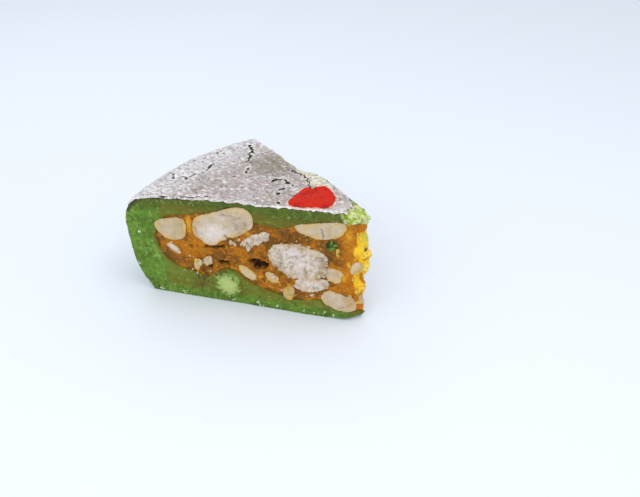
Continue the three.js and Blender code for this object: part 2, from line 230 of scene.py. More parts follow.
def spotShare(side, co, spots, soft):
    # 1 in a cut's oval spots, fading from soft, a share of the way out, to their ragged edge;
    # a spot is its distance, height, length, width and tilt
    distance, height, depth = cutPlace(side, co)
    if abs(depth) > cutPaint["spotDepth"]:
        return 0.0
    best = 0.0
    for middle, level, length, width, tilt in spots:
        across, up = distance - middle, height - level
        if abs(across) + abs(up) > length + width:
            continue
        turn = math.radians(tilt)
        along = (across * math.cos(turn) + up * math.sin(turn)) / length
        aside = (up * math.cos(turn) - across * math.sin(turn)) / width
        ragged = cutPaint["spotRagged"] * noise.noise(Vector((distance, height, 0)) * cutPaint["spotGrain"])
        best = max(best, fade(math.hypot(along, aside) * 2 + ragged, soft, cutPaint["spotEdge"]))
    return best


def place(piece, material, slot, *nodes):
    piece.data.materials.clear()
    piece.data.materials.append(material)
    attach(piece, "root")
    if nodes:
        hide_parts(*nodes)


# Helpers for materials


class Wire:
    # wraps a socket, so that shader maths can be written as sums
    def __init__(self, tree, socket=None):
        self.tree = tree
        self.socket = socket

    def make(self, kind, settings=None, sockets=None, output=0):
        node = self.tree.nodes.new("ShaderNode" + kind)
        for name, value in (settings or {}).items():
            setattr(node, name, value)
        for name, value in (sockets or {}).items():
            if isinstance(value, Wire):
                self.tree.links.new(value.socket, node.inputs[name])
            else:
                node.inputs[name].default_value = value
        return Wire(self.tree, node.outputs[output])

    def sum(self, operation, first, second, clamp=False):
        return self.make("Math", {"operation": operation, "use_clamp": clamp}, {0: first, 1: second})

    def __add__(self, other):
        return self.sum("ADD", self, other)

    def __sub__(self, other):
        return self.sum("SUBTRACT", self, other)

    def __mul__(self, other):
        return self.sum("MULTIPLY", self, other)

    def __rsub__(self, other):
        return self.sum("SUBTRACT", other, self)

    __radd__ = __add__
    __rmul__ = __mul__

    def clamped(self):
        return self.sum("ADD", self, 0.0, clamp=True)

    def between(self, low, high):
        # 0 below low, 1 above high, smooth in between
        return self.make("MapRange", {"interpolation_type": "SMOOTHSTEP"},
                         {"Value": self, "From Min": low, "From Max": high})

    def painted(self, name):
        return self.make("Attribute", {"attribute_name": name}, output=2)


def mixColours(share, first, second):
    # a colour is a wire or three numbers
    ends = [colour if isinstance(colour, Wire) else (*colour, 1) for colour in (first, second)]
    return share.make("Mix", {"data_type": "RGBA", "clamp_factor": True},
                      {0: share, 6: ends[0], 7: ends[1]}, output=2)


def layered(colours, base, coats):
    # a base colour with coats over it: each is a share and a colour, which is a wire or a name
    mixed = colours[base]
    for share, coat in coats:
        mixed = mixColours(share, mixed, coat if isinstance(coat, Wire) else colours[coat])
    return mixed


def startMaterial(name):
    material = bpy.data.materials.new(name)
    material.use_nodes = True
    material.node_tree.nodes.clear()
    wire = Wire(material.node_tree)
    return material, wire, wire.make("TexCoord", output=3)


def finishMaterial(wire, **sockets):
    # the shader itself; its sockets are given by name, with _ for a space
    shader = wire.tree.nodes.new("ShaderNodeBsdfPrincipled")
    output = wire.tree.nodes.new("ShaderNodeOutputMaterial")
    for name, value in sockets.items():
        socket = shader.inputs[name.replace("_", " ")]
        if isinstance(value, Wire):
            wire.tree.links.new(value.socket, socket)
        else:
            socket.default_value = value
    wire.tree.links.new(shader.outputs[0], output.inputs[0])


def noiseAt(spot, size, detail, roughness=0.5):
    # soft noise with features of that size in millimetres
    return spot.make("TexNoise", None, {"Vector": spot, "Scale": 1 / (size * mm), "Detail": detail,
                                        "Roughness": roughness})


def cellsAt(spot, size, feature="F1"):
    return spot.make("TexVoronoi", {"feature": feature}, {"Vector": spot, "Scale": 1 / (size * mm)})


def heightAt(spot):
    # the height above the floor in millimetres
    return spot.make("SeparateXYZ", None, {0: spot}, output=2) * (1 / mm)


def stretched(spot, factors, turn=0.0):
    return spot.make("Mapping", None, {"Vector": spot, "Rotation": (0, 0, turn), "Scale": factors})


def wobbled(spot, size, amount):
    # shifts places by noise, so that a pattern's lines wander
    shift = spot.make("TexNoise", None, {"Vector": spot, "Scale": 1 / (size * mm), "Detail": 2.0}, output=1)
    centred = spot.make("VectorMath", {"operation": "SUBTRACT"}, {0: shift, 1: (0.5, 0.5, 0.5)})
    scaled = spot.make("VectorMath", {"operation": "SCALE"}, {0: centred, "Scale": amount * mm})
    return spot.make("VectorMath", {"operation": "ADD"}, {0: spot, 1: scaled})


def bumpFrom(height, depth, strength=1.0):
    return height.make("Bump", None, {"Height": height, "Distance": depth * mm, "Strength": strength})


# Camera, floor and light

camera = {"place": (81.9, -133.9, 120.2), "azimuth": 36.48, "down": 31.93, "lens": 43.98, "sensor": 36,
          "nearest": 0.005}
studio = {
    "floorSize": 12.0,
    "floorColour": (0.76, 0.81, 0.90),
    "floorRoughness": 0.6,
    "floorShine": 0.2,
    "skyColour": (0.96, 0.98, 1.0),
    "horizonColour": (0.76, 0.82, 0.91),  # as the floor looks far away
    "horizonBand": (0.02, 0.4),  # where one turns into the other, from level to straight up
    "skyStrength": 0.9,
    "lampAim": (-35, 0, 12),
    "lamps": [  # place from the round's axis in mm, size in mm, watts, colour
        ((70, 10, 320), 190, 0.24, (1.0, 0.98, 0.95)),
        ((-260, 60, 240), 240, 0.1, (0.97, 0.98, 1.0)),
        ((60, -330, 200), 320, 0.44, (1.0, 0.98, 0.96)),
    ],
}


def buildCamera():
    turn = [math.radians(angle) for angle in (90 - camera["down"], 0, camera["azimuth"])]
    bpy.ops.object.camera_add(location=axis + Vector(camera["place"]) * mm, rotation=turn)
    eye = bpy.context.object
    eye.data.lens = camera["lens"]
    eye.data.sensor_width = camera["sensor"]
    eye.data.clip_start = camera["nearest"]
    bpy.context.scene.camera = eye


def buildStudio():
    bpy.ops.mesh.primitive_plane_add(size=studio["floorSize"], location=(0, 0, 0))
    floor = bpy.context.object
    floor.name = "floor"
    material, wire, _ = startMaterial("paleFloor")
    finishMaterial(wire, Base_Color=(*studio["floorColour"], 1), Roughness=studio["floorRoughness"],
                   Specular_IOR_Level=studio["floorShine"])
    floor.data.materials.append(material)
    aim = axis + Vector(studio["lampAim"]) * mm
    for stand, size, watts, colour in studio["lamps"]:
        start = axis + Vector(stand) * mm
        turn = (start - aim).to_track_quat("Z", "Y").to_euler()
        bpy.ops.object.light_add(type="AREA", location=start, rotation=turn)
        lamp = bpy.context.object.data
        lamp.size = size * mm
        lamp.energy = watts
        lamp.color = colour
    world = bpy.data.worlds.new("softSky")
    world.use_nodes = True
    sky = world.node_tree.nodes["Background"]
    wire = Wire(world.node_tree)
    upwards = wire.make("SeparateXYZ", None, {0: wire.make("TexCoord", output=0)}, output=2)
    colour = mixColours(upwards.between(*studio["horizonBand"]), studio["horizonColour"], studio["skyColour"])
    world.node_tree.links.new(colour.socket, sky.inputs["Color"])
    sky.inputs["Strength"].default_value = studio["skyStrength"]
    bpy.context.scene.world = world
    bpy.context.scene.view_settings.view_transform = "Standard"


buildCamera()
buildStudio()
print("camera, floor and light are up")

# Tears in the leaf: their width, and their route on the top in millimetres from the axis
tears = [
    (0.66, [(-33.6, 10.6), (-31.7, 9.7), (-29.2, 8.7), (-26.6, 7.1), (-24, 5), (-21.2, 2.2)]),
    (0.78, [(-54.6, 17.4), (-52.4, 15.6), (-50.9, 14.3), (-50, 11.4), (-48.8, 11), (-47.8, 9.2),
            (-46.9, 7.4)]),
    (0.6, [(-50.9, 14.3), (-49.2, 13.2)]),
    (0.46, [(-43.6, 4.6), (-43, 3), (-42.3, 1.7)]),
    (0.42, [(-33.2, 1.6), (-32.7, 3), (-31.6, 4.1)]),
    (0.8, [(-30.4, 3.4), (-28.8, 2.6)]),
    (0.5, [(-28.8, 2.6), (-27, 2.4)]),
    (0.5, [(-28.2, 0.1), (-28.5, -1.4)]),
    (0.6, [(-27.8, -2.7), (-27.4, -3.4)]),
    (0.35, [(-26.2, 1.1), (-25.5, 0.4)]),
    (1.2, [(-58.7, 8.2), (-58.9, 10.3)]),
    (0.48, [(-53.7, -5.6), (-52.3, -4.6), (-52, -3), (-54.2, 0.8), (-53.8, 2)]),
    (0.6, [(-59.4, -7.9), (-58.4, -9.0)]),
    (0.62, [(-57.6, -9.4), (-56.6, -10.4)]),
    (0.6, [(-56.4, -9.9), (-55.2, -7.8), (-53.4, -9), (-53.9, -6.3)]),
    (0.6, [(-47.2, -17.1), (-45.3, -16.4), (-44.4, -15.6), (-43.4, -14.6), (-41.6, -13.6)]),
    (0.5, [(-52.4, -19.4), (-50.6, -18.8)]),
    (0.3, [(-46.1, -5.1), (-45.9, -4.8)]),
    (0.34, [(-51.7, -15.3), (-51.5, -15)]),
    (0.36, [(-42.6, 2.1), (-42.4, 2.4)]),
    (0.3, [(-24.6, -6.6), (-24.2, -7.4)]),
    (0.3, [(-37.2, 11.2), (-36.4, 10.9)]),
]
tearEdge = {"wander": 0.55, "wanderGrain": 0.9, "coarse": 0.55, "coarseGrain": 1.5, "fine": 0.3,
            "fineGrain": 4.5, "reach": 1.5}


def distanceToRoute(x, y, route):
    best = math.inf
    for (ax, ay), (bx, by) in zip(route, route[1:]):
        dx, dy = bx - ax, by - ay
        share = max(0.0, min(1.0, ((x - ax) * dx + (y - ay) * dy) / (dx * dx + dy * dy)))
        best = min(best, math.hypot(x - ax - share * dx, y - ay - share * dy))
    return best


def isBeside(x, route, margin):
    # whether x lies within a route's span, widened by a margin
    return min(point[0] for point in route) - margin < x < max(point[0] for point in route) + margin


def tearShare(co, margin):
    # 1 in the middle of a tear, 0 beyond its ragged edge and the margin
    x, y = flatPlace(co)
    spot = Vector((x, y, 0))
    x += tearEdge["wander"] * noise.noise(spot * tearEdge["wanderGrain"])
    y += tearEdge["wander"] * noise.noise(spot * tearEdge["wanderGrain"] + Vector((0, 0, 9)))
    ragged = (tearEdge["coarse"] * noise.noise(spot * tearEdge["coarseGrain"])
              + tearEdge["fine"] * noise.noise(spot * tearEdge["fineGrain"]))
    best = 0.0
    for width, route in tears:
        if isBeside(x, route, tearEdge["reach"]):
            away = distanceToRoute(x, y, route) + ragged * width
            best = max(best, fade(away, 0.3 * width, 0.5 * width + margin))
    return best


def lineShare(side, co, routes):
    # 1 along thin lines on a cut, given as a width and a route of distances and heights
    distance, height, depth = cutPlace(side, co)
    if abs(depth) > cutPaint["lineDepth"]:
        return 0.0
    ragged = cutPaint["lineRagged"] * noise.noise(Vector((distance, height, 0)) * cutPaint["lineGrain"])
    best = 0.0
    for width, route in routes:
        if isBeside(distance, route, 1):
            away = distanceToRoute(distance, height, route) + ragged * width
            best = max(best, fade(away, 0.2 * width, 0.5 * width + cutPaint["lineSoft"]))
    return best


# Cashews: the tint runs from 0, deep cream, to 1, nearly white. Spots are ovals on the front cut:
# distance from the axis, height, length, width and tilt

cashew = {"growth": 0.24, "voxel": 0.21, "smoothing": 1, "proud": 0.1, "creaseDepth": 0.3, "rimFrom": 0.25,
          "rim": (0.2, 1.9), "edge": (0.15, 0.75),  # how far in from the nut's outline they reach
          "waves": [(3.0, 0.5), (1.2, 0.3)], "lumps": [(1.2, 1.4), (0.55, 0.5)],
          "cream": (0.47, 0.365, 0.200), "white": (0.60, 0.51, 0.415), "bright": (0.75, 0.66, 0.615),
          "shadow": (0.30, 0.215, 0.135), "stain": (0.64, 0.43, 0.12), "line": (0.15, 0.09, 0.04),
          # the pit colour is painted shade in the pits of the crumbly nuts
          "pit": (0.28, 0.21, 0.15), "pasted": (0.46, 0.22, 0.03),
          "crumbly": ("cashew_front_03", "cashew_front_05", "cashew_front_07", "cashew_back_06"),
          # the nuts on the front cut that differ from the others
          "plainTint": 0.5, "tints": {"01": 0.2, "02": 0.55, "03": 0.8, "04": 0.42, "05": 0.35, "07": 1.0,
                                      "13": 0.2, "14": 0.0, "15": 0.9},
          "plainRim": 0.8, "rims": {"05": 0.3, "07": 0.5, "14": 1.3, "15": 0.6, "13": 0.9, "08": 0.35,
                                    "03": 0.3},
          "spots": {"white": [(41.8, 20.2, 9.4, 6.8, -20), (20.4, 15.4, 11, 6.6, -8), (20.6, 18, 7, 3, 10),
                              (16.2, 9.9, 8, 3, 6), (53.4, 14.4, 3.4, 1.2, 40), (30, 20.6, 5, 1.6, 33)],
                    "shade": [(46.9, 20.8, 2.2, 8, -6), (34.6, 23.4, 6, 7, 25), (37.4, 25.6, 9, 2, 12),
                              (13.2, 15.2, 3.6, 9, 0), (50.2, 20.4, 1.2, 6, 0), (7.6, 4.2, 7, 1.4, -16),
                              (24.6, 14.2, 2, 5, 10), (12.8, 9.9, 2, 2, 0)]},
          # dark lines: a crack in one nut and the gaps under another, pressed in and painted dark as painted
          # shade
          "lines": [(0.26, [(13.95, 25.9), (13.6, 24.7), (13.45, 23.4)]),
                    (0.5, [(38.9, 20.1), (38.2, 19.3), (36.6, 19.4)]),
                    (0.4, [(44.6, 16.7), (43, 16.2), (40.4, 16.8)])]}


def cashewMaterial(name, crumbly):
    material, wire, spot = startMaterial(name)
    mottle = noiseAt(spot, 2.6, 4, 0.6)
    streaks = noiseAt(stretched(spot, (1.0, 1.0, 2.2), 0.6), 1.3, 4, 0.6)
    fine = noiseAt(spot, 0.55, 3, 0.62)
    edges = noiseAt(spot, 3.6, 3, 0.6)
    facets = cellsAt(wobbled(spot, 2.0, 0.8), 2.8)
    white = wire.painted("white")
    relief = mottle * 0.5 + streaks * 0.4 + fine * 0.15 + facets * 0.6 + white * fine * 0.8
    coats = [(wire.painted("tint") + (mottle - 0.5) * 2.4, "white"),
             (streaks.between(0.55, 0.75) * 0.28, "shadow"),
             (white * (0.35 + fine), "bright")]
    if crumbly:
        lumps = noiseAt(wobbled(spot, 0.9, 0.9), 1.7, 4, 0.6)
        # crumbly nuts: lighter on the raised lumps as a painted highlight, darker between them as painted
        # shade in the pits
        coats += [(lumps.between(0.44, 0.6) * 0.7, "bright"), ((1 - lumps.between(0.37, 0.47)) * 0.5, "pit")]
        relief = lumps * 1.4 + fine * 0.4
    coats += [(wire.painted("shade") * (0.15 + streaks.between(0.3, 0.7) * 0.7), "shadow"),
              (wire.painted("rim") * (0.12 + edges.between(0.38, 0.62) * 0.88), "stain"),
              (wire.painted("edge") * streaks.between(0.36, 0.6) * 0.6, "pasted"),
              (wire.painted("line") * 0.55, "line")]
    finishMaterial(wire, Base_Color=layered(cashew, "cream", coats), Roughness=0.5 + fine * 0.15,
                   Subsurface_Weight=0.12, Subsurface_Radius=(1.0, 0.8, 0.5), Subsurface_Scale=0.8 * mm,
                   Specular_IOR_Level=0.2, Normal=bumpFrom(relief, 0.6 if crumbly else 0.4, 0.8))
    return material


def flattenCut(piece, side):
    # trims what stands too far in front of the cut
    inwards = cutFrame(side)[1]
    for vertex in piece.data.vertices:
        excess = -cashew["proud"] - cutPlace(side, vertex.co)[2]
        if excess > 0:
            vertex.co += inwards * excess * mm


def buildCashew(node, materials):
    kind, side, number = node.split("_")
    piece = rebuilt(node, kind + side.capitalize() + number, cashew)
    crumbly = node in cashew["crumbly"]
    flattenCut(piece, side)
    # the rim of the cut, where the paste has stained the nut
    behind = awayFrom(piece, lambda co: cutPlace(side, co)[2] > cashew["rimFrom"])
    own = number if side == "front" else ""
    strength = cashew["rims"].get(own, cashew["plainRim"])
    tint = cashew["tints"].get(own, cashew["plainTint"])
    for name in ("rim", "edge"):
        paint(piece, name, lambda co: strength * fade(behind(co), *cashew[name]))
    paint(piece, "tint", lambda co: tint)
    for name, spots in cashew["spots"].items():
        paint(piece, name, lambda co: spotShare(side, co, spots, 0.3) if side == "front" else 0.0)

    # the dark lines are painted shade in the creases, which are pressed in as well
    def inLine(co):
        return lineShare(side, co, cashew["lines"]) if side == "front" else 0.0

    paint(piece, "line", inLine)
    weigh(piece, "creases", inLine)
    finishWith(piece, "DISPLACE", strength=-cashew["creaseDepth"] * mm, mid_level=0.0, vertex_group="creases")
    roughen(piece, cashew["lumps" if crumbly else "waves"])
    place(piece, materials[crumbly], "cashew", node)
    return piece


# Nut paste

paste = {"growth": 0.28, "voxel": 0.36, "smoothing": 1, "relief": [(2.6, 0.75), (0.9, 0.4)],
         "tipRelief": [(2.6, 1.9), (1.1, 0.45)], "tipReach": (2.2, 10.5), "tipLevel": 15, "tipLean": 0.18,
         "tipRagged": 2.0, "tipGrain": 0.35, "hollowDepth": 1.8, "fillerBehind": 0.6, "fillerRadius": 55.5,
         "fillerSides": 96, "fillerTip": 9, "fillerFloor": 3.4, "fillerTop": 26.4,
         "dark": (0.200, 0.080, 0.010), "amber": (0.50, 0.172, 0.006), "gold": (0.78, 0.38, 0.025),
         "umber": (0.105, 0.035, 0.005), "hollow": (0.035, 0.010, 0.003),
         # the torn end: its yellow is partly the paste's own colour, partly painted light on the end that
         # faces the light, with paler painted highlights
         "tip": (1.0, 0.62, 0.025), "tipDeep": (0.62, 0.19, 0.004), "tipPale": (1.0, 0.83, 0.25),
         "tipGreen": (0.60, 0.54, 0.07),
         # hollows: pits pressed into the front cut, painted near black as painted shade
         "hollows": [(29.6, 12.7, 4.6, 2.2, -20), (31.4, 13.6, 3.4, 1.4, -10), (39.6, 11.8, 3.6, 1.5, 0),
                     (43.7, 10.4, 1.4, 1.3, 0), (41.8, 16.2, 6, 0.7, -8), (46.0, 8.6, 1.2, 0.8, 0)],
         "spots": {"warm": [(50.5, 14.2, 9, 6, 20), (46.6, 17.6, 6, 4, 0), (31, 9.3, 4.4, 3.4, -30),
                            (27.6, 7.2, 4, 2.6, -20), (8, 12.5, 5.5, 8, 0), (7.6, 24, 4.6, 7, 0),
                            (48.4, 21.5, 2.6, 8, 0), (33.6, 21.4, 6, 1.8, 25), (10.6, 8.6, 6, 2.4, 0),
                            (35.4, 16, 5, 2.4, 0)],
                   "cool": [(26, 19.4, 9, 5.4, 20), (20, 22.6, 10, 3, 6), (12.2, 18.5, 4.4, 5, 0),
                            (45, 9, 5, 3, -40), (55.4, 11.6, 4, 5, 60), (41.6, 13.2, 5, 2.4, 0),
                            (6.9, 21.4, 2, 3, 0), (8.6, 23.7, 2.6, 1.1, -50)],
                   # bright: gold patches near the nuts and the tip, a painted glow of light through the paste
                   "bright": [(48.5, 22, 1.7, 7, 0), (33.2, 21.7, 5, 1.3, 25), (7.2, 25, 3, 5, 0),
                              (30, 9.6, 2.4, 1.2, -30), (7.6, 28, 3, 1.5, 0), (22, 8.2, 3, 1.2, 0)]}}


def tipShare(co):
    # 1 on the torn end of the paste
    x, y = flatPlace(co)
    reach = math.hypot(x, y) + paste["tipLean"] * abs(co.z / mm - paste["tipLevel"])
    return fade(reach + paste["tipRagged"] * noise.noise(co / mm * paste["tipGrain"]), *paste["tipReach"])


def pasteMaterial():
    material, wire, spot = startMaterial("nutPaste")
    clumps = noiseAt(spot, 3.0, 5, 0.62)
    fibres = noiseAt(stretched(spot, (1.0, 1.0, 1.6)), 0.9, 4, 0.66)
    grains = cellsAt(wobbled(spot, 0.8, 0.5), 0.85)
    specks = noiseAt(spot, 1.3, 3, 0.6)
    runs = noiseAt(stretched(spot, (1.0, 1.0, 0.4)), 2.0, 3, 0.55)
    warmth = clumps + (wire.painted("warm") - wire.painted("cool")) * 0.26
    end = wire.painted("tip")
    underTop = (heightAt(spot) + (clumps - 0.5) * 8).between(20.5, 25.0)
    colour = layered(paste, "dark", [
        (warmth.between(0.38, 0.62), "amber"),
        (fibres.between(0.55, 0.70) * 0.75, "gold"),
        # painted glow in the bright spots
        (wire.painted("bright") * (0.3 + clumps), "gold"),
        (grains.between(0.5, 0.8) * 0.3, "dark"),
        # darker specks where the bump dips: painted shade in the small crevices
        ((1 - specks.between(0.36, 0.46)) * (0.6 - wire.painted("warm") * 0.4), "umber"),
        (end.between(0.0, 0.4) * 0.8, layered(paste, "tipDeep", [(runs.between(0.40, 0.60), "amber")])),
        # the torn end painted bright, partly as painted light, with pale painted highlights
        ((end + (runs - 0.5) * 1.6).between(0.36, 0.7), "tip"),
        ((end + (fibres - 0.5) * 1.6).between(0.85, 1.15) * 0.8, "tipPale"),
        (end.between(0.35, 0.8) * underTop * 0.85, "tipGreen"),
        # near black in the hollows: painted shade
        (wire.painted("hollow") * 1.5, "hollow")])
    relief = clumps * 0.8 + fibres * 0.7 + (1 - grains) * 0.35 + specks * 0.4
    finishMaterial(wire, Base_Color=colour, Roughness=0.3 + fibres * 0.3, Subsurface_Weight=0.12,
                   Subsurface_Radius=(1.0, 0.45, 0.1), Subsurface_Scale=1.0 * mm,
                   Specular_IOR_Level=0.14, Normal=bumpFrom(relief, 0.8, 0.9))
    return material


def buildFiller():
    # a plain wedge that fills the nuts' sockets almost up to the cuts
    height = (paste["fillerTop"] - paste["fillerFloor"]) * mm
    middle = axis + Vector((0, 0, paste["fillerFloor"] * mm + height / 2))
    bpy.ops.mesh.primitive_cylinder_add(vertices=paste["fillerSides"], radius=paste["fillerRadius"] * mm,
                                        depth=height, location=middle)
    filler = bpy.context.object
    bpy.ops.object.transform_apply(location=True, rotation=True, scale=True)

    def cutAlong(side):
        inwards = cutFrame(side)[1]
        bpy.ops.mesh.bisect(plane_co=axis + inwards * paste["fillerBehind"] * mm, plane_no=inwards,
                            use_fill=True, clear_inner=True)

    def cutTip():
        bpy.ops.mesh.bisect(plane_co=axis - Vector((paste["fillerTip"] * mm, 0, 0)), plane_no=(1, 0, 0),
                            use_fill=True, clear_outer=True)

    inEditMode(filler, lambda: cutAlong("front"), lambda: cutAlong("back"), cutTip)
    return filler


def buildPaste():
    piece = rebuilt("nut_paste", "nutPaste", paste, buildFiller())
    roughen(piece, paste["relief"])
    weigh(piece, "tipPart", tipShare)
    roughen(piece, paste["tipRelief"], group="tipPart")
    weigh(piece, "hollowPart", lambda co: spotShare("front", co, paste["hollows"], 0.75))
    finishWith(piece, "DISPLACE", strength=-paste["hollowDepth"] * mm, mid_level=0.0,
               vertex_group="hollowPart")
    paint(piece, "tip", tipShare)
    paint(piece, "hollow", lambda co: spotShare("front", co, paste["hollows"], 0.7))
    for name, spots in paste["spots"].items():
        paint(piece, name, lambda co: spotShare("front", co, spots, 0.3))
    place(piece, pasteMaterial(), "nut_paste", "nut_paste")
    return piece


cashewMaterials = [cashewMaterial("cashew", False), cashewMaterial("cashewCrumbly", True)]
cashewNodes = sorted(node for node in frame["nodes"] if node.startswith("cashew"))
cashewPieces = [buildCashew(node, cashewMaterials) for node in cashewNodes]
print("cashews:", len(cashewPieces))
pastePiece = buildPaste()
print("paste:", len(pastePiece.data.polygons), "faces")

# Dark green nut on the front cut

pistachioBit = {"growth": 0.25, "voxel": 0.2, "smoothing": 0, "relief": [(0.9, 0.9)],
                "dark": (0.020, 0.040, 0.006), "green": (0.14, 0.23, 0.03)}


def buildPistachioBit():
    piece = rebuilt("pistachio_bit", "pistachioBit", pistachioBit)
    roughen(piece, pistachioBit["relief"])
    material, wire, spot = startMaterial("pistachioNut")
    speckle = noiseAt(spot, 0.8, 3)
    finishMaterial(wire, Base_Color=layered(pistachioBit, "dark", [(speckle.between(0.42, 0.58), "green")]),
                   Roughness=0.5, Specular_IOR_Level=0.2, Normal=bumpFrom(speckle, 0.4))
    place(piece, material, "pistachio_nut", "pistachio_bit")


buildPistachioBit()

# Pistachio dough

dough = {"growth": 0.08, "voxel": 0.36, "smoothing": 2, "groove": 0.9, "relief": [(5.5, 0.42), (1.6, 0.26)],
         "tornRelief": [(1.4, 1.5)], "tornReach": (4.2, 13.5), "tornHeights": (21, 25.5),
         "tornRagged": 2.2, "tornGrain": 0.5,
         "fresh": (0.128, 0.256, 0.027), "pale": (0.225, 0.37, 0.065), "deep": (0.085, 0.168, 0.016),
         "olive": (0.125, 0.185, 0.020), "topBand": (0.090, 0.112, 0.014), "crack": (0.052, 0.040, 0.024),
         "lump": (0.45, 0.56, 0.19), "fleck": (0.36, 0.47, 0.15), "torn": (0.66, 0.68, 0.34),
         "tornDeep": (0.30, 0.46, 0.03), "tornOlive": (0.30, 0.27, 0.04), "smear": (0.180, 0.125, 0.012),
         # the next colour is painted shade in the pores of the dough
         "pit": (0.045, 0.085, 0.010),
         "spots": {"lump": (0.1, [(38.8, 5.6, 10.4, 9.4, 80)]), "lumpShade": (0.1, [(38.2, 9.3, 5, 2.4, 0)]),
                   "smear": (0.2, [(58.4, 12.5, 10, 3.6, 60), (52, 7, 8, 1.8, -10), (54.6, 26.6, 2, 3, 0),
                                   (26, 26, 7, 2, 8)])},
         "oliveSpots": [(11.5, 27.4, 13, 5, 0), (31, 26, 12, 2, 8)],
         # dark lines under the leaf's edge along the shoulder and down the rim: painted shade
         "rimLines": [(1.5, [(60.4, 27.9), (62.6, 26.7), (64.2, 25.0), (65, 23.6)]),
                      (0.5, [(47, 28.9), (53, 28.6), (60, 27.7)])],
         "sag": [(37, 4, 0.25), (29.5, 3, -0.6)],  # middle, spread and rise along the front edge
         "sagFrom": 24, "sagHeights": (26, 28.5), "sagDepth": 7}


def tornShare(co):
    # 1 on the crumbly end of the top, near the tip
    x, y = flatPlace(co)
    ragged = dough["tornRagged"] * noise.noise(Vector((x, y, co.z / mm)) * dough["tornGrain"])
    return fade(math.hypot(x, y) + ragged, *dough["tornReach"]) * (1 - fade(co.z / mm, *dough["tornHeights"]))


def sagAt(co):
    # how the top dips and rises along the front cut, in metres
    distance, height, depth = cutPlace("front", co)
    if height < dough["sagFrom"]:
        return 0.0
    wave = sum(amount * math.exp(-((distance - middle) / spread) ** 2)
               for middle, spread, amount in dough["sag"])
    return wave * fade(depth, 0, dough["sagDepth"]) * (1 - fade(height, *dough["sagHeights"])) * mm


def doughMaterial():
    material, wire, spot = startMaterial("pistachioDough")
    height = heightAt(spot)
    patches = noiseAt(spot, 6, 4, 0.6)
    smears = noiseAt(stretched(spot, (1.0, 1.0, 2.0)), 2.4, 4, 0.62)
    grain = noiseAt(spot, 0.6, 3, 0.66)
    pores = noiseAt(spot, 1.2, 3, 0.62)
    flecks = cellsAt(wobbled(spot, 0.6, 0.5), 1.7)
    lump = (wire.painted("lump") + (pores - 0.5) * 0.5 + (smears - 0.5) * 0.6).between(0.1, 1.05)
    torn = layered(dough, "tornDeep", [
        (pores.between(0.40, 0.60), "torn"),
        ((1 - smears.between(0.34, 0.50)) * 0.8, "tornOlive")])
    colour = layered(dough, "deep", [
        (patches.between(0.36, 0.62), "fresh"),
        ((1 - height.between(2.0, 9.0)) * smears.between(0.45, 0.6) * 0.5, "olive"),
        (smears.between(0.52, 0.70) * 0.5 + wire.painted("smear") * 0.5, "pale"),
        # a darker olive band under the top edge: partly an olive tone, partly painted shade under the leaf
        ((height + smears * 3).between(25.0, 28.2) * 0.8, "topBand"),
        # darker where the pores dip: painted shade in them
        ((1 - pores.between(0.38, 0.48)) * 0.55, "pit"),
        (pores.between(0.56, 0.68) * 0.55, "pale"),
        (wire.painted("besidePaste") * (smears * 1.6 - 0.15).clamped(), "smear"),
        ((1 - flecks.between(0.10, 0.26)) * grain.between(0.46, 0.6) * 0.75, "fleck"),
        (lump, "lump"),
        (wire.painted("lumpShade") * 0.6, "deep"),
        ((wire.painted("torn") + (pores - 0.5) * 1.4).between(0.15, 0.75), torn),
        (wire.painted("crack"), "crack")])
    relief = smears * 0.7 + grain * 0.3 + pores * 0.6
    finishMaterial(wire, Base_Color=colour, Roughness=0.5 + smears * 0.2, Subsurface_Weight=0.12,
                   Subsurface_Radius=(0.8, 1.0, 0.3), Subsurface_Scale=1.0 * mm, Specular_IOR_Level=0.18,
                   Normal=bumpFrom(relief, 0.8, 0.85))
    return material


def buildDough():
    piece = rebuilt("pistachio_shell", "pistachioDough", dough)
    roughen(piece, dough["relief"])
    weigh(piece, "tornPart", tornShare)
    roughen(piece, dough["tornRelief"], 0.45, "tornPart")
    # grooves under the tears, and the wave of the front edge
    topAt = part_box("silver_leaf")[0][2]
    places = [vertex.co.copy() for vertex in piece.data.vertices]
    for co, vertex in zip(places, piece.data.vertices):
        if co.z > topAt and vertex.normal.z > 0.5:
            co.z -= dough["groove"] * mm * tearShare(co, 0.35)
        co.z = max(0.0, co.z + sagAt(co))
    piece.data.vertices.foreach_set("co", [number for co in places for number in co])
    piece.data.update()
    away = awayFrom(pastePiece)
    paint(piece, "besidePaste", lambda co: max(fade(away(co), 0.3, 1.7),
                                               0.7 * spotShare("front", co, dough["oliveSpots"], 0.1)))
    # near black in the grooves under the tears and in the lines under the leaf's edge: painted shade
    paint(piece, "crack", lambda co: (tearShare(co, 0.3) if co.z > topAt + 2 * mm else 0.0)
          or 0.75 * lineShare("front", co, dough["rimLines"]))
    paint(piece, "torn", tornShare)
    for name, (soft, spots) in dough["spots"].items():
        paint(piece, name, lambda co: spotShare("front", co, spots, soft))
    place(piece, doughMaterial(), "pistachio_dough", "pistachio_shell")
    return piece


doughPiece = buildDough()
print("dough:", len(doughPiece.data.polygons), "faces")

# Red dab

dab = {"growth": 0.2, "voxel": 0.2, "smoothing": 8, "drop": 0.65, "relief": [(2.6, 0.7), (0.8, 0.16)],
       "edge": (0.36, 0.6),
       "red": (0.55, 0.016, 0.005), "deep": (0.37, 0.010, 0.005), "light": (0.72, 0.065, 0.022),
       "shadow": (0.13, 0.012, 0.006), "skin": (0.86, 0.50, 0.42),
       "shadows": [(0.34, [(-20.6, 2.6), (-19.4, 1.4), (-18.8, 1.0)]),
                   (0.5, [(-22.4, -5.4), (-22.9, -3.0), (-23.1, -0.8)])]}


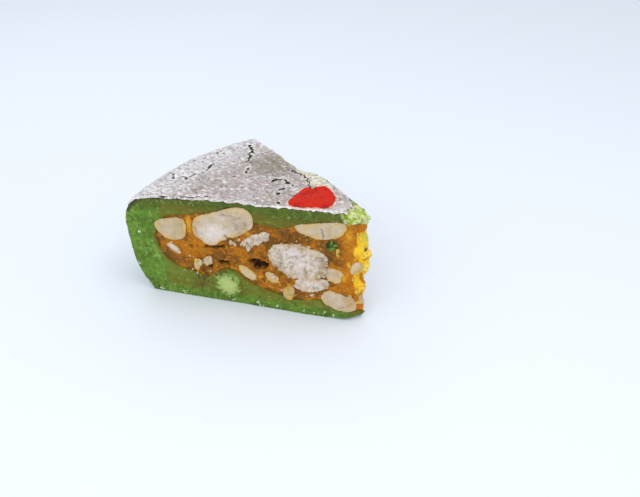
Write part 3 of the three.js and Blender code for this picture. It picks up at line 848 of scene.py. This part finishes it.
def buildDab():
    piece = rebuilt("red_dab", "redDab", dab)
    roughen(piece, dab["relief"])
    piece.data.transform(Matrix.Translation((0, 0, -dab["drop"] * mm)))
    away = awayFrom(doughPiece)
    paint(piece, "edge", lambda co: fade(away(co), *dab["edge"]))
    paint(piece, "shadow", lambda co: max(fade(distanceToRoute(*flatPlace(co), route), 0.2 * width, width)
                                          for width, route in dab["shadows"]))
    material, wire, spot = startMaterial("redDab")
    blotches = noiseAt(spot, 1.8, 3, 0.55)
    specks = noiseAt(spot, 0.6, 3, 0.6)
    colour = layered(dab, "deep", [
        (blotches.between(0.32, 0.54), "red"),
        (specks.between(0.56, 0.72) * 0.5, "light"),
        (wire.painted("shadow") * 0.85, "shadow"),
        (wire.painted("edge") * blotches.between(0.4, 0.55), "skin")])
    finishMaterial(wire, Base_Color=colour, Roughness=0.5 + blotches * 0.2, Specular_IOR_Level=0.1,
                   Normal=bumpFrom(blotches + specks * 0.2, 0.3, 0.5))
    place(piece, material, "red_dab", "red_dab")
    return piece


dabPiece = buildDab()
print("dab:", len(dabPiece.data.polygons), "faces")

# Silver leaf

leaf = {"along": 235, "across": 190, "thickness": 0.07, "lift": 0.06, "overhang": 0.6,
        "relief": [(2.3, 0.5), (1.0, 0.24)],
        # the bare sheet: from near the axis over the domed top, and down the rim
        "start": 6.6, "crown": 30.8, "dome": 2.9, "domeReach": 60, "shoulder": 59, "pastShoulder": 7.5,
        "rim": [(59, 27.9), (62.4, 27), (64.4, 25.2), (65.4, 23.4)],
        "hemReach": 62, "hemHeight": 25, "hemSwing": 2.4,
        "tipEdge": [(-8.2, -4.4), (-7.7, -2.1), (-7.8, 0.5), (-9.6, 2.5), (-13, 4.7), (-14.5, 6.5)],
        "flake": [(-33.6, 10.6), (-31.7, 9.7), (-29.2, 8.7), (-26.6, 7.1), (-24, 5), (-21.2, 2.2),
                  (-17.6, 2.5)],
        "flakeTip": -18, "stripFrom": -33, "stripFade": (-52, -48),
        # ranges in millimetres over which the looks change: from the axis, an edge or the dab
        "warmMiddle": (-40, 9), "warmReach": (2, 11), "haloReach": (0.35, 0.9), "frostFrom": (-60, -44),
        "frostRim": (58, 63), "glintFront": (0.2, 0.9), "glintFar": (-34, -26), "glintBack": (0.2, 0.8),
        "glintRim": (59, 64), "glintTip": (-13, -8.8),
        "silver": (0.62, 0.525, 0.53), "warm": (0.36, 0.31, 0.245), "bright": (0.82, 0.80, 0.83),
        # the darker foil colour below is painted shade in the crinkles and creases
        "dull": (0.24, 0.20, 0.185), "cream": (0.88, 0.85, 0.74), "creamDull": (0.56, 0.53, 0.38),
        "white": (0.96, 0.94, 0.94), "halo": (0.95, 0.72, 0.62)}


def leafPoint(along, across):
    # the sheet before it is laid on: flat over the top, then down round the rim
    reach = leaf["start"] + along * (leaf["shoulder"] - leaf["start"] + leaf["pastShoulder"])
    height = leaf["crown"] - leaf["dome"] * (reach / leaf["domeReach"]) ** 2
    rest = reach - leaf["shoulder"]
    if rest > 0:
        for (r0, z0), (r1, z1) in zip(leaf["rim"], leaf["rim"][1:]):
            step = math.hypot(r1 - r0, z1 - z0)
            if rest <= step or (r1, z1) == leaf["rim"][-1]:
                share = min(1.0, rest / step)
                reach, height = r0 + share * (r1 - r0), z0 + share * (z1 - z0)
                break
            rest -= step
    wander = (noise.noise(Vector((reach * 0.5, round(across), 3)))
              + 0.6 * noise.noise(Vector((reach * 1.9, 0, 8))))
    swing = (across - 0.5) * 2 * (wedge["halfAngle"] + leaf["overhang"] * (0.3 + wander) / max(reach, 6))
    return axis + Vector((-reach * math.cos(swing), reach * math.sin(swing), height)) * mm


def isTorn(co):
    # where the sheet has no foil: beyond its ragged ends and in the tears
    x, y = flatPlace(co)
    ragged = 0.6 * noise.noise(Vector((x, y, 1)) * 0.9) + 0.5 * noise.noise(Vector((x, y, 2)) * 3)
    edge = leaf["tipEdge"]
    for (x0, y0), (x1, y1) in zip(edge, edge[1:]):
        if y0 <= y <= y1 and x > x0 + (x1 - x0) * (y - y0) / (y1 - y0) + ragged * 1.6:
            return True
    hem = leaf["hemHeight"] + leaf["hemSwing"] * noise.noise(Vector((x, y, 3)) * 0.3) + 0.6 * ragged
    if math.hypot(x, y) > leaf["hemReach"] and co.z / mm < hem:
        return True
    return tearShare(co, 0.1) > 0.5


def outerHighlightShare(co):
    # 1 where the foil is painted brighter, as a painted reflection of the light: on the round's outer part,
    # and less beyond the shoulder
    x, y = flatPlace(co)
    return fade(x, *leaf["frostFrom"]) * (0.35 + 0.65 * fade(math.hypot(x, y), *leaf["frostRim"]))


def backEdge(x, y):
    # how far a place on the top lies from the back cut
    return math.hypot(x, y) * math.sin(wedge["halfAngle"] - math.atan2(y, -x))


def flakeShare(co):
    # 1 on the pale flake between the long crack and the back cut, and along that cut: paler partly by its
    # cream tone, partly as a painted highlight where it catches the light
    x, y = flatPlace(co)
    route = leaf["flake"]
    for (x0, y0), (x1, y1) in zip(route, route[1:]):
        if x0 <= x <= x1 and y > y0 + (y1 - y0) * (x - x0) / (x1 - x0):
            return fade(distanceToRoute(x, y, route), -3.0, -0.1) if x > leaf["flakeTip"] else 1.0
    if x >= leaf["stripFrom"]:
        return 0.0
    return 0.9 * fade(backEdge(x, y), 0.3, 0.7) * (1 - fade(x, *leaf["stripFade"]))


def glintShare(co):
    # 1 on the white edges: beside the tears, over the rim and along the cuts
    x, y = flatPlace(co)
    frontEdge = math.hypot(x, y) * math.sin(wedge["halfAngle"] + math.atan2(y, -x))
    share = fade(frontEdge, *leaf["glintFront"]) * (0.6 + 0.4 * (1 - fade(x, *leaf["glintFar"])))
    share = max(share, tearShare(co, 0.9), 0.8 * fade(backEdge(x, y), *leaf["glintBack"]))
    return max(share, 0.5 - 0.5 * fade(math.hypot(x, y), *leaf["glintRim"]),
               0.6 * (1 - fade(x, *leaf["glintTip"])))


def leafMaterial():
    material, wire, spot = startMaterial("silverLeaf")
    zones = noiseAt(spot, 11, 3, 0.5)
    patches = noiseAt(spot, 2.6, 4, 0.64)
    crinkle = noiseAt(stretched(spot, (1.0, 1.5, 1.0), 0.5), 1.25, 4, 0.62)
    veins = wire.make("TexNoise", {"noise_type": "RIDGED_MULTIFRACTAL"},
                      {"Vector": wobbled(spot, 1.5, 1.2), "Scale": 1 / (3.2 * mm), "Detail": 4.0,
                       "Roughness": 0.6})
    folds = cellsAt(wobbled(spot, 1.3, 1.8), 2.3, "DISTANCE_TO_EDGE")
    creases = (1 - folds.between(0.0, 0.07)) * patches.between(0.42, 0.6)
    pale, glint, warmth = (wire.painted(name) for name in ("pale", "glint", "warmth"))
    # The foil's colour carries its light: paler on raised patches and over the outer part, a painted
    # highlight and reflection; darker in the crinkle valleys and creases, painted shade; white on the crinkle
    # crests, painted glints
    colour = layered(leaf, "silver", [
        ((zones * 1.6 - 0.4 + warmth * 0.8).clamped(), "warm"),
        (patches.between(0.44, 0.68) * 0.6 + wire.painted("frost") * 0.8 - warmth * 0.3, "bright"),
        ((1 - crinkle.between(0.38, 0.50)) * 0.62 + creases * 0.55, "dull"),
        (crinkle.between(0.56, 0.66) * (0.9 - warmth * 0.45), "white"),
        (glint * (crinkle * 1.6 - 0.1).clamped(), "white"),
        (wire.painted("halo") * (0.3 + patches), "halo"),
        (pale, layered(leaf, "creamDull", [(crinkle.between(0.44, 0.58), "cream")]))])
    relief = crinkle * 0.9 + patches * 0.6 - creases * 0.3 + veins * 0.2
    finishMaterial(wire, Base_Color=colour, Metallic=(0.55 - pale * 0.5 - glint * 0.3).clamped(),
                   Roughness=0.38 + crinkle * 0.2, Normal=bumpFrom(relief, 1.0, 1.0))
    return material


def buildLeaf():
    bpy.ops.mesh.primitive_grid_add(x_subdivisions=leaf["along"], y_subdivisions=leaf["across"], size=1)
    piece = bpy.context.object
    piece.name = "silverLeaf"
    flat = [leafPoint(vertex.co.x + 0.5, vertex.co.y + 0.5) for vertex in piece.data.vertices]
    piece.data.vertices.foreach_set("co", [number for co in flat for number in co])
    piece.data.update()
    finishWith(piece, "SHRINKWRAP", target=doughPiece, wrap_method="NEAREST_SURFACEPOINT",
               wrap_mode="ABOVE_SURFACE", offset=leaf["lift"] * mm)
    inEditMode(piece, lambda: bpy.ops.mesh.normals_make_consistent(inside=False))
    if sum(face.normal.z for face in piece.data.polygons) < 0:
        inEditMode(piece, bpy.ops.mesh.flip_normals)
    deleteFaces(piece, lambda face: isTorn(face.center))
    trimPinches(piece)
    piece = keepLargest(piece)
    roughen(piece, leaf["relief"], 0.3)
    awayFromDab = awayFrom(dabPiece)
    paint(piece, "pale", flakeShare)
    paint(piece, "warmth", lambda co: fade(math.dist(flatPlace(co), leaf["warmMiddle"]), *leaf["warmReach"]))
    paint(piece, "frost", outerHighlightShare)
    paint(piece, "glint", glintShare)
    paint(piece, "halo", lambda co: fade(awayFromDab(co), *leaf["haloReach"]))
    finishWith(piece, "SOLIDIFY", thickness=leaf["thickness"] * mm, offset=1)
    bpy.ops.object.shade_smooth()
    place(piece, leafMaterial(), "silver_leaf", "silver_leaf")
    return piece


leafPiece = buildLeaf()
print("leaf:", len(leafPiece.data.polygons), "faces")

# Crumbs and flecks: a spot on the front cut is its distance, height and size in millimetres

crumbs = {
    "seed": 11,
    "pale": [(44.2, 12.6, 1.5), (43.2, 11.6, 1.1), (43.5, 8.6, 0.8), (46.2, 8.8, 0.9), (48.6, 8.4, 0.7),
             (47.2, 7.4, 0.8), (27.6, 6.9, 0.6), (24.4, 6.1, 1.0), (16.5, 6.1, 1.1), (14.9, 7.2, 0.5),
             (17.9, 23.3, 0.6), (16.6, 23.9, 0.8), (20.2, 21.4, 0.5), (12.9, 13.9, 1.0), (13.2, 12.5, 1.2),
             (12.2, 11.5, 0.9), (14.5, 12.3, 0.9), (33.9, 18.6, 1.9), (32.7, 17.7, 1.6), (36.4, 17.9, 1.2),
             (37.2, 18.5, 1.3), (35.2, 19.3, 1.1), (31.6, 19.2, 1.4), (53.9, 15.6, 0.9), (8.1, 28.9, 1.0),
             (26.2, 10.1, 1.5), (25.2, 8.6, 1.0), (51.6, 13.2, 0.9), (22.4, 19.6, 0.9), (24.6, 17.9, 1.0),
             (17.2, 20.2, 0.9), (26.1, 14.8, 1.1), (14.2, 17.2, 0.9), (19.4, 20.4, 0.8), (27, 16.4, 0.7)],
    "gold": [(47.1, 11.4, 1.5), (46.6, 9.6, 1.2), (22.8, 6.9, 1.6), (24.9, 7.6, 0.8), (21.6, 4.8, 1.4),
             (28.2, 8.4, 0.7), (9.8, 20.3, 1.7), (9.9, 19.1, 1.1), (31.4, 8.3, 0.8), (49.9, 15.4, 0.6)],
    "brown": [(46.3, 4.0, 1.2), (45.2, 4.5, 1.1), (44.4, 5.4, 1.1), (45.6, 6.1, 1.3), (46.9, 6.6, 1.2),
              (44.8, 7.2, 1.3), (40.6, 9.0, 1.2), (39.2, 9.7, 1.0), (41.8, 8.2, 0.8), (3.3, 21.3, 1.0)],
    "sugar": [(58.2, 0.9, 0.9), (57.4, 0.7, 0.6), (51.6, 1.1, 0.7), (51.2, 0.6, 0.5), (37.2, 1.0, 0.7),
              (30.9, 1.4, 1.1), (30.3, 0.5, 0.8), (29.4, 0.5, 0.6), (25.6, 1.2, 0.8), (13, 1.6, 0.6),
              (62.4, 17.7, 0.9), (63.6, 7.6, 0.7), (63.9, 8.2, 0.5)],
    # how many more are strewn by chance, and their least and greatest sizes
    "random": {"front": 26, "back": 80}, "randomSugar": {"front": 14, "back": 24}, "tipCount": 22,
    "rimSugar": 26,
    "pasteSize": (0.25, 0.65), "sugarSize": (0.25, 0.6), "tipSize": (0.5, 1.5), "greenSize": (0.4, 1.0),
    "stretch": [(0.8, 1.4), (0.7, 1.1), (0.4, 0.8)], "turn": (0, 6.28),
    # where they may land, and how far outside the cuts and the rim the search for a landing starts
    "pasteSpan": (5, 57), "pasteHeights": (3, 27), "footSpan": (6, 62), "rimSwing": (-0.36, 0.36),
    "cutStart": 12, "rimStart": 80,
    # colour and material slot
    "kinds": {"pale": ((0.66, 0.54, 0.40), "cashew"), "gold": ((0.76, 0.50, 0.08), "nut_paste"),
              "brown": ((0.15, 0.105, 0.025), "nut_paste"), "sugar": ((0.62, 0.70, 0.47), "silver_leaf"),
              "tip": ((0.94, 0.60, 0.06), "nut_paste"), "green": ((0.60, 0.66, 0.26), "pistachio_dough")},
}


def crumbMaterial(name, colour):
    material, wire, spot = startMaterial(name)
    speckle = noiseAt(spot, 0.7, 3, 0.6)
    darker = [channel * 0.62 for channel in colour]
    finishMaterial(wire, Base_Color=mixColours(speckle.between(0.38, 0.6), darker, colour), Roughness=0.45,
                   Specular_IOR_Level=0.25, Normal=bumpFrom(speckle, 0.25, 0.7))
    return material


def chance(name):
    return random.uniform(*crumbs[name])


def masterCrumb():
    bpy.ops.mesh.primitive_ico_sphere_add(subdivisions=2, radius=0.5 * mm)
    master = bpy.context.object
    roughen(master, [(0.5, 0.8)])
    finishWith(master, "DECIMATE", ratio=0.5)
    return master


def scatter(name, spots, material, slot):
    # one mesh of small irregular bits: each spot is a place and a size in millimetres
    copies = []
    for index, (middle, size) in enumerate(spots):
        copy = newPiece(f"{name}{index}", crumb.data.copy())
        stretch = Vector([random.uniform(*span) for span in crumbs["stretch"]]) * size
        turn = Euler([chance("turn") for _ in range(3)])
        copy.data.transform(Matrix.LocRotScale(middle, turn, stretch))
        lowest = min(vertex.co.z for vertex in copy.data.vertices)
        copy.data.transform(Matrix.Translation((0, 0, max(0.0, -lowest))))
        copies.append(copy)
    selectOnly(copies[0])
    for copy in copies:
        copy.select_set(True)
    bpy.ops.object.join()
    piece = bpy.context.object
    piece.name = name
    place(piece, material, slot)
    return piece


def firstHit(start, direction):
    # the nearest piece along a line, and where the line meets it
    best = None
    for piece in (doughPiece, pastePiece, *cashewPieces):
        hit, point = piece.ray_cast(start, direction)[:2]
        if hit and (best is None or (point - start).length < (best[0] - start).length):
            best = (point, piece)
    return best


def landing(side, distance, height):
    return firstHit(onCut(side, distance, height, -crumbs["cutStart"]), cutFrame(side)[1])


def buildCrumbs():
    random.seed(crumbs["seed"])
    placed = {kind: [] for kind in crumbs["kinds"]}

    def put(kind, found, size):
        placed[kind].append((found[0], size))

    for kind in ("pale", "gold", "brown", "sugar"):
        for distance, height, size in crumbs[kind]:
            found = landing("front", distance, height)
            if found:
                put(kind, found, size)
    for side, count in crumbs["random"].items():  # small ones all over the paste
        while count > 0:
            found = landing(side, chance("pasteSpan"), chance("pasteHeights"))
            if found and found[1] is pastePiece:
                put(random.choice(("pale", "gold", "gold", "gold")), found, chance("pasteSize"))
                count -= 1
    for side, count in crumbs["randomSugar"].items():  # along the foot of the cuts
        for _ in range(count):
            height = random.choice((0.5, 0.8, 1.2, random.uniform(1, 26)))
            found = landing(side, chance("footSpan"), height)
            if found and found[1] is doughPiece:
                put("sugar", found, chance("sugarSize"))
    for _ in range(crumbs["rimSugar"]):  # round the foot of the rim
        swing = chance("rimSwing")
        outwards = Vector((-math.cos(swing), math.sin(swing), 0))
        height = random.choice((0.6, 1.0, random.uniform(1, 22)))
        start = axis + outwards * (crumbs["rimStart"] * mm) + Vector((0, 0, height * mm))
        found = firstHit(start, -outwards)
        if found:
            put("sugar", found, chance("sugarSize"))
    for _ in range(crumbs["tipCount"]):  # on the torn end
        start = axis + Vector((20, random.uniform(-2.6, 2.6), random.uniform(4, 31))) * mm
        found = firstHit(start, Vector((-1, 0, 0)))
        if found and found[1] in (doughPiece, pastePiece):
            put("green" if found[1] is doughPiece else "tip", found, chance("tipSize"))
    for _ in range(crumbs["tipCount"]):  # on the torn end of the top
        reach, swing = random.uniform(2.5, 8), chance("rimSwing")
        start = axis + Vector((-reach * math.cos(swing), reach * math.sin(swing), 40)) * mm
        found = firstHit(start, Vector((0, 0, -1)))
        if found and found[1] is doughPiece:
            put("green", found, chance("greenSize"))
    for kind, (colour, slot) in crumbs["kinds"].items():
        scatter(kind + "Crumbs", placed[kind], crumbMaterial(kind + "Crumb", colour), slot)
    return sum(len(spots) for spots in placed.values())


crumb = masterCrumb()
print("crumbs:", buildCrumbs())
bpy.data.objects.remove(crumb)
